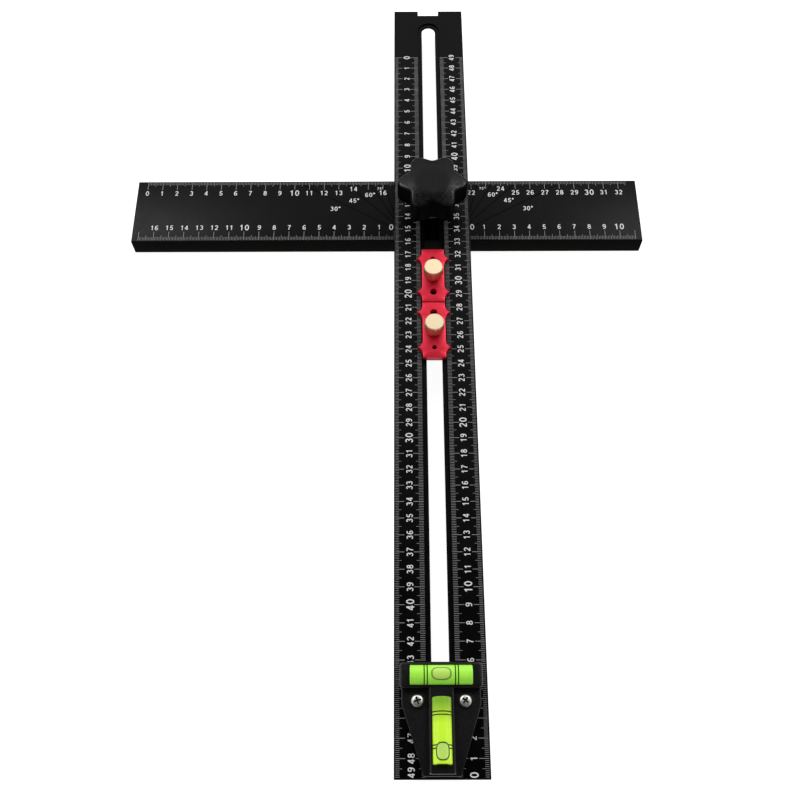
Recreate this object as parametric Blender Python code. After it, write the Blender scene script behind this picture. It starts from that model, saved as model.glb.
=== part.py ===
"""Sliding bevel: a slotted rule blade that slides and swivels on a crossbar under a star knob.

The blade lies along +Y with its top face up.  The origin is the centre of the blade's zero-end
face: X = 0 is the blade's centre line, Y = 0 its zero end, Z = 0 the middle of its thickness.
Two marking sliders run in the blade's channel, each held by a thumbscrew and a clamp nut, and a
two-way spirit level is screwed to the zero end.
"""

import math

import bmesh
import bpy
from mathutils import Matrix, Vector

MM = 0.001
GAP = 0.3 * MM

# Blade
BLADE_LENGTH = 536.0 * MM
BLADE_WIDTH = 50.0 * MM
BLADE_THICKNESS = 5.0 * MM
BLADE_CHAMFER = 0.5 * MM
NOTCH_WIDTH = 15.0 * MM
NOTCH_DEPTH = 4.3 * MM
SLOT_WIDTH = 9.6 * MM
CHANNEL_WIDTH = 15.2 * MM
CHANNEL_DEPTH = 1.0 * MM
NUT_CHANNEL_DEPTH = 2.5 * MM
SLOT_NEAR_CENTRE = 50.0 * MM
SLOT_FAR_CENTRE = 516.0 * MM

# Crossbar and its pivot
PIVOT_Y = 358.8 * MM
CROSSBAR_LEFT = 199.5 * MM
CROSSBAR_RIGHT = 139.5 * MM
CROSSBAR_WIDTH = 49.0 * MM
CROSSBAR_THICKNESS = 13.0 * MM
CROSSBAR_CHAMFER = 0.5 * MM
BOLT_DIAMETER = 6.0 * MM
BOLT_LENGTH = 25.0 * MM
BOLT_HEAD_ACROSS = 10.0 * MM
BOLT_HEAD_HEIGHT = 4.0 * MM
BOLT_POCKET_DEPTH = 5.2 * MM

# Star knob
KNOB_LOBES = 6
KNOB_RADIUS = 22.7 * MM
KNOB_VALLEY_RADIUS = 17.0 * MM
KNOB_UNDERSIDE = 10.1 * MM
KNOB_SHOULDER = 24.1 * MM
KNOB_TOP = 27.8 * MM
HUB_RADIUS = 10.0 * MM
WASHER_DIAMETER = 22.0 * MM
WASHER_THICKNESS = 1.6 * MM
INSERT_DIAMETER = 12.0 * MM
INSERT_NECK_DIAMETER = 9.6 * MM
INSERT_LIP_DIAMETER = 12.4 * MM
INSERT_LIP_THICKNESS = 0.6 * MM
INSERT_DEPTH = 13.0 * MM

# Marking sliders, thumbscrews and clamp nuts
SLIDER_LENGTH = 39.2 * MM
SLIDER_WIDTH = 14.2 * MM
SLIDER_PROUD = 3.0 * MM
SLIDER_CENTRES = {"upper": 302.2 * MM, "lower": 262.1 * MM}
TIP_SPAN = 21.0 * MM
TIP_FROM_END = 7.1 * MM
TIP_SWEEP = math.radians(68)
BIG_HOLE_DIAMETER = 4.4 * MM
SMALL_HOLE_DIAMETER = 3.0 * MM
THUMB_DIAMETER = 12.0 * MM
THUMB_HEIGHT = 9.7 * MM
THUMB_TEETH = 36
THUMB_TOOTH_DEPTH = 0.3 * MM
SCREW_DIAMETER = 4.0 * MM
NUT_LENGTH = 36.0 * MM
NUT_WIDTH = 13.6 * MM
NUT_FLANGE = 1.5 * MM
NUT_BOSS_LENGTH = 34.0 * MM

# Spirit level
VIAL_DIAMETER = 10.0 * MM
VIAL_LENGTH = 33.0 * MM
VIAL_BORE = 7.0 * MM
VIAL_END = 2.4 * MM
VIAL_AXIS_HEIGHT = 6.4 * MM
CROSS_VIAL_Y = 51.1 * MM
LONG_VIAL_Y = 23.0 * MM
HOLDER_PLATE = 3.0 * MM
HOLDER_RIM = 7.8 * MM
HOLDER_BAR_LENGTH = 43.8 * MM
HOLDER_BAR_WIDTH = 13.6 * MM
HOLDER_SHOULDER_HALF = 21.0 * MM
HOLDER_SHOULDER_Y = 36.5 * MM
HOLDER_TOE_HALF = 9.6 * MM
HOLDER_TOE_Y = 1.0 * MM
SPINE_BASE = 17.0 * MM
SPINE_TOP = 12.6 * MM
HOLDER_SCREW_X = 12.6 * MM
HOLDER_SCREW_Y = 38.2 * MM
HOLDER_SCREW_HEAD = 6.6 * MM
HOLDER_SCREW_HEAD_HEIGHT = 2.0 * MM
HOLDER_SCREW_SHANK = 2.9 * MM

# Levels that follow from the sizes above
BLADE_TOP = BLADE_THICKNESS / 2
BLADE_UNDERSIDE = -BLADE_THICKNESS / 2
CHANNEL_FLOOR = BLADE_TOP - CHANNEL_DEPTH
WEB_UNDERSIDE = BLADE_UNDERSIDE + NUT_CHANNEL_DEPTH
CROSSBAR_TOP = BLADE_UNDERSIDE - GAP
CROSSBAR_UNDERSIDE = CROSSBAR_TOP - CROSSBAR_THICKNESS
WASHER_UNDERSIDE = BLADE_TOP + GAP
HUB_UNDERSIDE = WASHER_UNDERSIDE + WASHER_THICKNESS + GAP
SLIDER_TOP = BLADE_TOP + SLIDER_PROUD
HOLDER_UNDERSIDE = BLADE_TOP + GAP
VIAL_AXIS = BLADE_TOP + VIAL_AXIS_HEIGHT
POCKET_RADIUS = VIAL_DIAMETER / 2 + GAP
TIP_OFFSET = SLIDER_LENGTH / 2 - TIP_FROM_END
OVERCUT = 2.0 * MM


def clear_scene():
    for obj in list(bpy.data.objects):
        bpy.data.objects.remove(obj, do_unlink=True)


def material(name, colour, roughness, metallic=0.0, transmission=0.0):
    made = bpy.data.materials.new(name)
    made.use_nodes = True
    shader = made.node_tree.nodes["Principled BSDF"]
    shader.inputs["Base Color"].default_value = (*colour, 1.0)
    shader.inputs["Roughness"].default_value = roughness
    shader.inputs["Metallic"].default_value = metallic
    shader.inputs["Transmission Weight"].default_value = transmission
    made.diffuse_color = (*colour, 1.0)
    return made


def add_object(name, mesh_data, location=(0.0, 0.0, 0.0), finish=None):
    """Closes a bmesh into a named object whose faces point out."""
    bmesh.ops.recalc_face_normals(mesh_data, faces=mesh_data.faces[:])
    mesh = bpy.data.meshes.new(name)
    mesh_data.to_mesh(mesh)
    mesh_data.free()
    obj = bpy.data.objects.new(name, mesh)
    obj.location = location
    bpy.context.scene.collection.objects.link(obj)
    if finish:
        mesh.materials.append(finish)
    return obj


def prism(outline, low, high, turn=None):
    """A closed outline in local X and Y, extruded from low to high along local Z, then turned."""
    shape = bmesh.new()
    corners = [shape.verts.new((x, y, low)) for x, y in outline]
    base = shape.faces.new(corners)
    raised = bmesh.ops.extrude_face_region(shape, geom=[base])["geom"]
    tops = [item for item in raised if isinstance(item, bmesh.types.BMVert)]
    bmesh.ops.translate(shape, verts=tops, vec=(0.0, 0.0, high - low))
    if turn:
        bmesh.ops.transform(shape, matrix=turn, verts=shape.verts[:])
    return shape


def turned(profile, segments):
    """A profile of (radius, height) points spun about Z; points at radius 0 close on the axis."""
    shape = bmesh.new()
    points = [shape.verts.new((radius, 0.0, height)) for radius, height in profile]
    ring = [shape.edges.new(pair) for pair in zip(points, points[1:])]
    if profile[0][0] > 0.0:
        ring.append(shape.edges.new((points[-1], points[0])))
    bmesh.ops.spin(
        shape, geom=points + ring, axis=(0, 0, 1), cent=(0, 0, 0),
        angle=math.tau, steps=segments, use_merge=True, use_duplicate=False,
    )
    bmesh.ops.remove_doubles(shape, verts=shape.verts[:], dist=1e-7)
    return shape


def box_outline(half_x, half_y):
    return [(-half_x, -half_y), (half_x, -half_y), (half_x, half_y), (-half_x, half_y)]


def circle_outline(radius, count, centre=(0.0, 0.0)):
    turns = [math.tau * step / count for step in range(count)]
    return [(centre[0] + radius * math.cos(a), centre[1] + radius * math.sin(a)) for a in turns]


def obround_outline(width, near_y, far_y, count=16):
    """A slot outline along Y whose round ends are centred at near_y and far_y."""
    radius = width / 2
    arc = [math.pi * step / count for step in range(count + 1)]
    far = [(radius * math.cos(a), far_y + radius * math.sin(a)) for a in arc]
    near = [(-radius * math.cos(a), near_y - radius * math.sin(a)) for a in arc]
    return far + near


def as_cutter(obj):
    obj.hide_render = True
    obj.display_type = "WIRE"
    return obj


def boolean(obj, other, operation):
    step = obj.modifiers.new(operation.title() + " " + other.name, "BOOLEAN")
    step.operation = operation
    step.solver = "EXACT"
    step.object = as_cutter(other)


def cut(obj, name, shape, location=(0.0, 0.0, 0.0)):
    boolean(obj, add_object(name, shape, location), "DIFFERENCE")


def join(obj, name, shape, location=(0.0, 0.0, 0.0)):
    other = add_object(name, shape, location)
    boolean(obj, other, "UNION")
    return other


def bevel(obj, width, segments=1):
    step = obj.modifiers.new("Bevel", "BEVEL")
    step.width = width
    step.segments = segments
    step.limit_method = "ANGLE"
    step.angle_limit = math.radians(50)


def smooth(obj):
    obj.data.shade_smooth()
    obj.data.set_sharp_from_angle(angle=math.radians(35))


def build_blade(finish):
    half = BLADE_WIDTH / 2
    notch = NOTCH_WIDTH / 2
    notch_floor = BLADE_LENGTH - NOTCH_DEPTH
    outline = [
        (-half, 0.0), (half, 0.0), (half, BLADE_LENGTH), (notch, BLADE_LENGTH),
        (notch, notch_floor), (-notch, notch_floor), (-notch, BLADE_LENGTH), (-half, BLADE_LENGTH),
    ]
    blade = add_object("blade", prism(outline, BLADE_UNDERSIDE, BLADE_TOP), finish=finish)
    bevel(blade, BLADE_CHAMFER)
    channel = obround_outline(CHANNEL_WIDTH, SLOT_NEAR_CENTRE, SLOT_FAR_CENTRE)
    slot = obround_outline(SLOT_WIDTH, SLOT_NEAR_CENTRE, SLOT_FAR_CENTRE)
    cut(blade, "cut_channel", prism(channel, CHANNEL_FLOOR, BLADE_TOP + OVERCUT))
    cut(blade, "cut_nut_channel", prism(channel, BLADE_UNDERSIDE - OVERCUT, WEB_UNDERSIDE))
    cut(blade, "cut_slot", prism(slot, BLADE_UNDERSIDE - OVERCUT, BLADE_TOP + OVERCUT))
    hole = circle_outline(HOLDER_SCREW_SHANK / 2 + GAP, 20)
    for side, sign in (("left", -1), ("right", 1)):
        place = (sign * HOLDER_SCREW_X, HOLDER_SCREW_Y, 0.0)
        drill = prism(hole, BLADE_UNDERSIDE - OVERCUT, BLADE_TOP + OVERCUT)
        cut(blade, "cut_tapped_hole_" + side, drill, place)


def build_crossbar(finish):
    """The crossbar's origin is on the pivot, so it turns about its bolt."""
    middle = (CROSSBAR_RIGHT - CROSSBAR_LEFT) / 2
    half_x = (CROSSBAR_RIGHT + CROSSBAR_LEFT) / 2
    outline = [(x + middle, y) for x, y in box_outline(half_x, CROSSBAR_WIDTH / 2)]
    pivot = (0.0, PIVOT_Y, 0.0)
    bar = prism(outline, CROSSBAR_UNDERSIDE, CROSSBAR_TOP)
    crossbar = add_object("crossbar", bar, pivot, finish)
    bevel(crossbar, CROSSBAR_CHAMFER)
    bolt_hole = circle_outline(BOLT_DIAMETER / 2 + GAP, 28)
    drill = prism(bolt_hole, CROSSBAR_UNDERSIDE - OVERCUT, CROSSBAR_TOP + OVERCUT)
    cut(crossbar, "cut_bolt_hole", drill, pivot)
    pocket_radius = (BOLT_HEAD_ACROSS / 2 + GAP) / math.cos(math.pi / 6)
    pocket_top = CROSSBAR_UNDERSIDE + BOLT_POCKET_DEPTH
    pocket = prism(circle_outline(pocket_radius, 6), CROSSBAR_UNDERSIDE - OVERCUT, pocket_top)
    cut(crossbar, "cut_bolt_pocket", pocket, pivot)


def build_pivot_bolt(finish):
    pivot = (0.0, PIVOT_Y, 0.0)
    head_top = CROSSBAR_UNDERSIDE + BOLT_POCKET_DEPTH - GAP
    head_outline = circle_outline(BOLT_HEAD_ACROSS / 2 / math.cos(math.pi / 6), 6)
    head = prism(head_outline, head_top - BOLT_HEAD_HEIGHT, head_top)
    bolt = add_object("pivot_bolt", head, pivot, finish)
    radius = BOLT_DIAMETER / 2
    tip = head_top + BOLT_LENGTH
    shank = turned(
        [(0.0, head_top - 1.0 * MM), (radius, head_top - 1.0 * MM), (radius, tip - 0.8 * MM),
         (radius - 0.8 * MM, tip), (0.0, tip)], 28)
    join(bolt, "add_bolt_shank", shank, pivot)


def build_slot_bush(finish):
    """A flanged bush that turns on the bolt and keeps it central in the blade's slot."""
    bore = BOLT_DIAMETER / 2 + GAP
    neck = SLOT_WIDTH / 2 - GAP
    flange = CHANNEL_WIDTH / 2 - GAP
    low = CROSSBAR_TOP + GAP
    profile = [
        (bore, low), (flange, low), (flange, WEB_UNDERSIDE - GAP), (neck, WEB_UNDERSIDE - GAP),
        (neck, CHANNEL_FLOOR - GAP), (bore, CHANNEL_FLOOR - GAP),
    ]
    bush = add_object("slot_bush", turned(profile, 32), (0.0, PIVOT_Y, 0.0), finish)
    smooth(bush)


def build_clamp_washer(finish):
    hole = INSERT_NECK_DIAMETER / 2 + GAP
    rim = WASHER_DIAMETER / 2
    top = WASHER_UNDERSIDE + WASHER_THICKNESS
    edge = 0.3 * MM
    profile = [
        (hole, WASHER_UNDERSIDE), (rim - edge, WASHER_UNDERSIDE), (rim, WASHER_UNDERSIDE + edge),
        (rim, top - edge), (rim - edge, top), (hole, top),
    ]
    washer = add_object("clamp_washer", turned(profile, 40), (0.0, PIVOT_Y, 0.0), finish)
    smooth(washer)


def build_knob_insert(finish):
    """A threaded insert whose lip holds the clamp washer captive under the hub."""
    bore = BOLT_DIAMETER / 2 + GAP
    neck = INSERT_NECK_DIAMETER / 2
    lip = INSERT_LIP_DIAMETER / 2
    outer = INSERT_DIAMETER / 2
    lip_top = WASHER_UNDERSIDE - GAP
    top = HUB_UNDERSIDE + INSERT_DEPTH
    profile = [
        (bore, lip_top - INSERT_LIP_THICKNESS), (lip, lip_top - INSERT_LIP_THICKNESS),
        (lip, lip_top), (neck, lip_top), (neck, HUB_UNDERSIDE), (outer, HUB_UNDERSIDE),
        (outer, top), (bore, top),
    ]
    insert = add_object("knob_insert", turned(profile, 32), (0.0, PIVOT_Y, 0.0), finish)
    smooth(insert)


def lobed_ring(shape, radius, dip, height, count):
    """One ring of points whose radius dips between the lobes."""
    ring = []
    for step in range(count):
        angle = math.tau * step / count
        reach = radius - dip * (0.5 - 0.5 * math.cos(KNOB_LOBES * angle))
        point = (reach * math.cos(angle), reach * math.sin(angle), height)
        ring.append(shape.verts.new(point))
    return ring


def skin(shape, lower, upper):
    for here in range(len(lower)):
        there = (here + 1) % len(lower)
        shape.faces.new((lower[here], lower[there], upper[there], upper[here]))


def build_star_knob(finish):
    """Rings run from the hub's underside, out round the lobes and over the crown."""
    count = KNOB_LOBES * 12
    dip = KNOB_RADIUS - KNOB_VALLEY_RADIUS
    underside = BLADE_TOP + KNOB_UNDERSIDE
    shoulder = BLADE_TOP + KNOB_SHOULDER
    top = BLADE_TOP + KNOB_TOP
    crown = top - shoulder
    rings = [
        (INSERT_DIAMETER / 2 + GAP, 0.0, HUB_UNDERSIDE),
        (HUB_RADIUS - 0.5 * MM, 0.0, HUB_UNDERSIDE),
        (HUB_RADIUS, 0.0, HUB_UNDERSIDE + 0.5 * MM),
        (HUB_RADIUS + 0.6 * MM, 0.0, underside - 1.5 * MM),
        (HUB_RADIUS + 2.5 * MM, 0.0, underside),
        (KNOB_RADIUS - 1.2 * MM, dip, underside),
        (KNOB_RADIUS, dip, underside + 1.2 * MM),
        (KNOB_RADIUS, dip, shoulder),
        (KNOB_RADIUS - 0.7 * MM, dip, shoulder + 0.30 * crown),
        (KNOB_RADIUS - 2.4 * MM, dip * 0.98, shoulder + 0.55 * crown),
        (KNOB_RADIUS - 6.5 * MM, dip * 0.75, shoulder + 0.80 * crown),
        (KNOB_RADIUS - 12.5 * MM, dip * 0.35, shoulder + 0.95 * crown),
    ]
    shape = bmesh.new()
    made = [lobed_ring(shape, *ring, count) for ring in rings]
    for lower, upper in zip(made, made[1:]):
        skin(shape, lower, upper)
    apex = shape.verts.new((0.0, 0.0, top))
    bore_top = shape.verts.new((0.0, 0.0, HUB_UNDERSIDE + INSERT_DEPTH + GAP))
    inner = lobed_ring(shape, INSERT_DIAMETER / 2 + GAP, 0.0, bore_top.co.z, count)
    skin(shape, inner, made[0])
    for here in range(count):
        there = (here + 1) % count
        shape.faces.new((made[-1][here], made[-1][there], apex))
        shape.faces.new((inner[there], inner[here], bore_top))
    knob = add_object("star_knob", shape, (0.0, PIVOT_Y, 0.0), finish)
    smooth(knob)


def tip_arc(sign_x, centre_y, upward, count=6):
    """A concave arc that leaves the slider's side smoothly and ends at one pointed tip."""
    edge = SLIDER_WIDTH / 2
    radius = (TIP_SPAN / 2 - edge) / (1 - math.cos(TIP_SWEEP))
    points = []
    for step in range(count + 1):
        angle = TIP_SWEEP * step / count
        out = radius * (1 - math.cos(angle))
        along = radius * (math.sin(TIP_SWEEP) - math.sin(angle))
        points.append((sign_x * (edge + out), centre_y + (-along if upward else along)))
    return points


def slider_outline():
    """Anticlockwise from the near right corner; both sides carry two pointed tips."""
    half_x = SLIDER_WIDTH / 2
    half_y = SLIDER_LENGTH / 2
    outline = [(half_x, -half_y)]
    for centre in (-TIP_OFFSET, TIP_OFFSET):
        outline += tip_arc(1, centre, True)
        outline += tip_arc(1, centre, False)[-2::-1]
    outline += [(half_x, half_y), (-half_x, half_y)]
    for centre in (TIP_OFFSET, -TIP_OFFSET):
        outline += tip_arc(-1, centre, False)
        outline += tip_arc(-1, centre, True)[-2::-1]
    outline.append((-half_x, -half_y))
    return outline


def build_slider(name, side, finish):
    """Both sliders are one part; the lower one is turned round, so the big holes meet."""
    centre = (0.0, SLIDER_CENTRES[side], 0.0)
    body = prism(slider_outline(), CHANNEL_FLOOR + GAP, SLIDER_TOP)
    slider = add_object(name, body, centre, finish)
    relief_low = CHANNEL_FLOOR - OVERCUT
    relief_high = BLADE_TOP + GAP
    for word, sign in (("left", -1), ("right", 1)):
        relief = [(x + sign * (SLIDER_WIDTH / 2 + 5 * MM), y)
                  for x, y in box_outline(5 * MM, SLIDER_LENGTH)]
        cut(slider, f"cut_{name}_{word}", prism(relief, relief_low, relief_high), centre)
    big_y = -TIP_OFFSET if side == "upper" else TIP_OFFSET
    holes = (
        ("screw", SCREW_DIAMETER / 2 + GAP, 0.0),
        ("big", BIG_HOLE_DIAMETER / 2, big_y),
        ("small", SMALL_HOLE_DIAMETER / 2, -big_y),
    )
    for word, radius, y in holes:
        outline = circle_outline(radius, 24, (0.0, y))
        drill = prism(outline, CHANNEL_FLOOR - OVERCUT, SLIDER_TOP + OVERCUT)
        cut(slider, f"cut_{name}_{word}_hole", drill, centre)


def build_thumbscrew(name, side, finish):
    """A toothed head on a plain shank, centred on its own turning axis."""
    low = SLIDER_TOP + GAP
    high = low + THUMB_HEIGHT
    edge = 0.5 * MM
    rim = THUMB_DIAMETER / 2
    count = THUMB_TEETH * 2
    shape = bmesh.new()
    levels = ((rim - edge, low, 0.0), (rim, low + edge, THUMB_TOOTH_DEPTH),
              (rim, high - edge, THUMB_TOOTH_DEPTH), (rim - edge, high, 0.0))
    rings = []
    for radius, height, depth in levels:
        ring = []
        for step in range(count):
            angle = math.tau * step / count
            reach = radius - depth * (step % 2)
            ring.append(shape.verts.new((reach * math.cos(angle), reach * math.sin(angle), height)))
        rings.append(ring)
    for lower, upper in zip(rings, rings[1:]):
        skin(shape, lower, upper)
    shape.faces.new(rings[0][::-1])
    shape.faces.new(rings[-1])
    centre = (0.0, SLIDER_CENTRES[side], 0.0)
    screw = add_object(name, shape, centre, finish)
    radius = SCREW_DIAMETER / 2
    tip = WEB_UNDERSIDE - GAP - NUT_FLANGE + 0.1 * MM
    shank = turned(
        [(0.0, tip), (radius - 0.4 * MM, tip), (radius, tip + 0.4 * MM),
         (radius, low + 1.0 * MM), (0.0, low + 1.0 * MM)], 24)
    join(screw, f"add_{name}_shank", shank, centre)


def build_clamp_nut(name, side, finish):
    """A T-shaped nut: its flange pulls up under the web, its boss stops it turning in the slot."""
    centre = (0.0, SLIDER_CENTRES[side], 0.0)
    top = WEB_UNDERSIDE - GAP
    flange = prism(box_outline(NUT_WIDTH / 2, NUT_LENGTH / 2), top - NUT_FLANGE, top)
    nut = add_object(name, flange, centre, finish)
    boss_half = SLOT_WIDTH / 2 - GAP
    boss = prism(box_outline(boss_half, NUT_BOSS_LENGTH / 2), top - 0.5 * MM, CHANNEL_FLOOR - GAP)
    join(nut, f"add_{name}_boss", boss, centre)
    thread = circle_outline(SCREW_DIAMETER / 2 + GAP, 24)
    drill = prism(thread, top - NUT_FLANGE - OVERCUT, CHANNEL_FLOOR + OVERCUT)
    cut(nut, f"cut_{name}_thread", drill, centre)


def vial_pocket_outline():
    """A U: half round below the vial's axis, straight sides above it."""
    arc = [math.pi * step / 16 for step in range(17)]
    sides = [(POCKET_RADIUS * math.cos(a), -POCKET_RADIUS * math.sin(a)) for a in arc]
    return sides + [(-POCKET_RADIUS, 10 * MM), (POCKET_RADIUS, 10 * MM)]


ALONG_Y = Matrix.Rotation(math.radians(90), 4, "X")
ALONG_X = Matrix.Rotation(math.radians(90), 4, "Z") @ ALONG_Y


def build_level_holder(finish):
    """A tapered plate with a raised bar and a raised spine that cradle the two vials."""
    outline = [
        (-HOLDER_TOE_HALF, HOLDER_TOE_Y), (HOLDER_TOE_HALF, HOLDER_TOE_Y),
        (HOLDER_SHOULDER_HALF, HOLDER_SHOULDER_Y), (HOLDER_SHOULDER_HALF, CROSS_VIAL_Y),
        (-HOLDER_SHOULDER_HALF, CROSS_VIAL_Y), (-HOLDER_SHOULDER_HALF, HOLDER_SHOULDER_Y),
    ]
    top = HOLDER_UNDERSIDE + HOLDER_PLATE
    rim = BLADE_TOP + HOLDER_RIM
    plate = add_object("level_holder", prism(outline, HOLDER_UNDERSIDE, top), finish=finish)
    bevel(plate, 0.8 * MM, 2)
    bar_outline = box_outline(HOLDER_BAR_LENGTH / 2, HOLDER_BAR_WIDTH / 2)
    bar = join(plate, "add_bar", prism(bar_outline, HOLDER_UNDERSIDE, rim), (0.0, CROSS_VIAL_Y, 0.0))
    bevel(bar, 1.6 * MM, 3)
    spine_outline = [
        (-SPINE_BASE / 2, HOLDER_UNDERSIDE), (SPINE_BASE / 2, HOLDER_UNDERSIDE),
        (SPINE_TOP / 2, rim - 0.4 * MM), (-SPINE_TOP / 2, rim - 0.4 * MM),
    ]
    spine_shape = prism(spine_outline, -CROSS_VIAL_Y, -HOLDER_TOE_Y - 0.9 * MM, ALONG_Y)
    spine = join(plate, "add_spine", spine_shape)
    bevel(spine, 0.9 * MM, 2)
    half = VIAL_LENGTH / 2 + GAP
    cross = prism(vial_pocket_outline(), -half, half, ALONG_X)
    cut(plate, "cut_cross_pocket", cross, (0.0, CROSS_VIAL_Y, VIAL_AXIS))
    along = prism(vial_pocket_outline(), -half, half, ALONG_Y)
    cut(plate, "cut_long_pocket", along, (0.0, LONG_VIAL_Y, VIAL_AXIS))
    hole = circle_outline(HOLDER_SCREW_SHANK / 2 + GAP, 20)
    for word, sign in (("left", -1), ("right", 1)):
        place = (sign * HOLDER_SCREW_X, HOLDER_SCREW_Y, 0.0)
        drill = prism(hole, HOLDER_UNDERSIDE - OVERCUT, top + OVERCUT)
        cut(plate, "cut_holder_hole_" + word, drill, place)


def build_holder_screw(name, sign, finish):
    """A domed head with a cross recess on a plain shank."""
    low = HOLDER_UNDERSIDE + HOLDER_PLATE + GAP
    rim = HOLDER_SCREW_HEAD / 2
    shank = HOLDER_SCREW_SHANK / 2
    tip = BLADE_UNDERSIDE + GAP
    arc = [math.pi / 2 * step / 5 for step in range(6)]
    dome = [(rim * math.cos(a), low + 0.5 * MM + (HOLDER_SCREW_HEAD_HEIGHT - 0.5 * MM) * math.sin(a))
            for a in arc[:-1]]
    profile = [(0.0, tip), (shank, tip), (shank, low), (rim, low)] + dome
    profile.append((0.0, low + HOLDER_SCREW_HEAD_HEIGHT))
    place = (sign * HOLDER_SCREW_X, HOLDER_SCREW_Y, 0.0)
    screw = add_object(name, turned(profile, 28), place, finish)
    smooth(screw)
    top = low + HOLDER_SCREW_HEAD_HEIGHT
    arm = 1.7 * MM
    wing = 0.45 * MM
    cross = [
        (-wing, -arm), (wing, -arm), (wing, -wing), (arm, -wing), (arm, wing), (wing, wing),
        (wing, arm), (-wing, arm), (-wing, wing), (-arm, wing), (-arm, -wing), (-wing, -wing),
    ]
    cut(screw, f"cut_{name}_cross", prism(cross, top - 1.1 * MM, top + OVERCUT), place)


def build_vial(prefix, centre, turn, bubble_at, finishes):
    """A clear tube closed at one end, its end plug, and the liquid with its bubble as a dent."""
    half = VIAL_LENGTH / 2
    outer = VIAL_DIAMETER / 2
    bore = VIAL_BORE / 2
    edge = 0.4 * MM
    floor = -half + VIAL_END
    tube_profile = [
        (0.0, -half), (outer - edge, -half), (outer, -half + edge), (outer, half - edge),
        (outer - edge, half), (bore, half), (bore, floor), (0.0, floor),
    ]
    tube = add_object(prefix + "_tube", turned(tube_profile, 32), centre, finishes["tube"])
    plug_profile = [
        (0.0, half - VIAL_END), (bore - GAP, half - VIAL_END), (bore - GAP, half), (0.0, half),
    ]
    plug = add_object(prefix + "_plug", turned(plug_profile, 28), centre, finishes["plug"])
    fill = bore - GAP
    liquid_profile = [
        (0.0, floor + GAP), (fill, floor + GAP),
        (fill, half - VIAL_END - GAP), (0.0, half - VIAL_END - GAP),
    ]
    liquid = add_object(prefix + "_liquid", turned(liquid_profile, 28), centre, finishes["liquid"])
    for obj in (tube, plug, liquid):
        obj.matrix_world = Matrix.Translation(centre) @ turn
        smooth(obj)
    bubble = bmesh.new()
    bmesh.ops.create_uvsphere(bubble, u_segments=20, v_segments=12, radius=1.0)
    along = turn.to_3x3() @ Vector((0.0, 0.0, 1.0))
    stretch = [2.7 * MM + 2.2 * MM * abs(share) for share in along]
    stretch[2] = 1.8 * MM
    bmesh.ops.scale(bubble, vec=stretch, verts=bubble.verts[:])
    place = Vector(centre) + along * bubble_at + Vector((0.0, 0.0, fill))
    cut(liquid, f"cut_{prefix}_bubble", bubble, place)


def main():
    clear_scene()
    black = material("anodised_black", (0.025, 0.026, 0.027), 0.38, 0.85)
    red = material("anodised_red", (0.55, 0.02, 0.06), 0.35, 0.8)
    plastic = material("black_plastic", (0.02, 0.02, 0.021), 0.45)
    brass = material("brass", (0.75, 0.55, 0.27), 0.25, 1.0)
    zinc = material("zinc_plated_steel", (0.65, 0.65, 0.64), 0.3, 1.0)
    nickel = material("nickel_plated_steel", (0.7, 0.69, 0.67), 0.22, 1.0)
    nylon = material("black_nylon", (0.03, 0.03, 0.03), 0.5)
    nut_steel = material("clamp_nut_steel", (0.05, 0.05, 0.05), 0.4, 1.0)
    vial = {
        "tube": material("clear_acrylic", (0.75, 0.95, 0.55), 0.05, 0.0, 0.9),
        "plug": material("green_acrylic", (0.35, 0.75, 0.08), 0.2),
        "liquid": material("vial_liquid", (0.45, 0.85, 0.05), 0.05, 0.0, 0.6),
    }
    build_blade(black)
    build_crossbar(black)
    build_pivot_bolt(zinc)
    build_slot_bush(nylon)
    build_clamp_washer(zinc)
    build_knob_insert(brass)
    build_star_knob(plastic)
    for side in SLIDER_CENTRES:
        build_slider("slider_" + side, side, red)
        build_thumbscrew("thumbscrew_" + side, side, brass)
        build_clamp_nut("clamp_nut_" + side, side, nut_steel)
    build_level_holder(plastic)
    build_holder_screw("holder_screw_left", -1, nickel)
    build_holder_screw("holder_screw_right", 1, nickel)
    build_vial("cross_vial", (0.0, CROSS_VIAL_Y, VIAL_AXIS), ALONG_X, 0.0, vial)
    build_vial("long_vial", (0.0, LONG_VIAL_Y, VIAL_AXIS), ALONG_Y, 10.0 * MM, vial)
    bpy.context.view_layer.update()


main()
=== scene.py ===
import math

import bmesh
import bpy
from mathutils import Matrix, Vector


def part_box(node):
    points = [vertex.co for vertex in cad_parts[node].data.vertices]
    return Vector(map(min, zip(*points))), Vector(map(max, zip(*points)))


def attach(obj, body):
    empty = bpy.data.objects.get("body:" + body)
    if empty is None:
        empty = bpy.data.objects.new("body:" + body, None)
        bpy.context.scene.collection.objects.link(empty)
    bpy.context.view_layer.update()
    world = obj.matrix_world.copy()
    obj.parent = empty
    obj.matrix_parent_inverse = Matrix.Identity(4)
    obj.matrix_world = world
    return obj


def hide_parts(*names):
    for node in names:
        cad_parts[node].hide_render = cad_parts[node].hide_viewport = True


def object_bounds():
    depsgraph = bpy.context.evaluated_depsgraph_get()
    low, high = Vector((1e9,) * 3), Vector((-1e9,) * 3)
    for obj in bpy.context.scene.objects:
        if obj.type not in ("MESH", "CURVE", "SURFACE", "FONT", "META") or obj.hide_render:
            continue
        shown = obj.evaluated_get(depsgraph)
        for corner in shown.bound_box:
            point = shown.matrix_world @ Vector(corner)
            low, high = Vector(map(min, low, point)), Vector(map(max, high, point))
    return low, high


# Looks of the sliding bevel: machined metal, moulded plastic, printed scales and green vials.
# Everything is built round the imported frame, which gives each part's box. X runs across the blade,
# Y along it from its zero end and Z up. Lengths are in metres; MM turns millimetres into metres.

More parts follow.
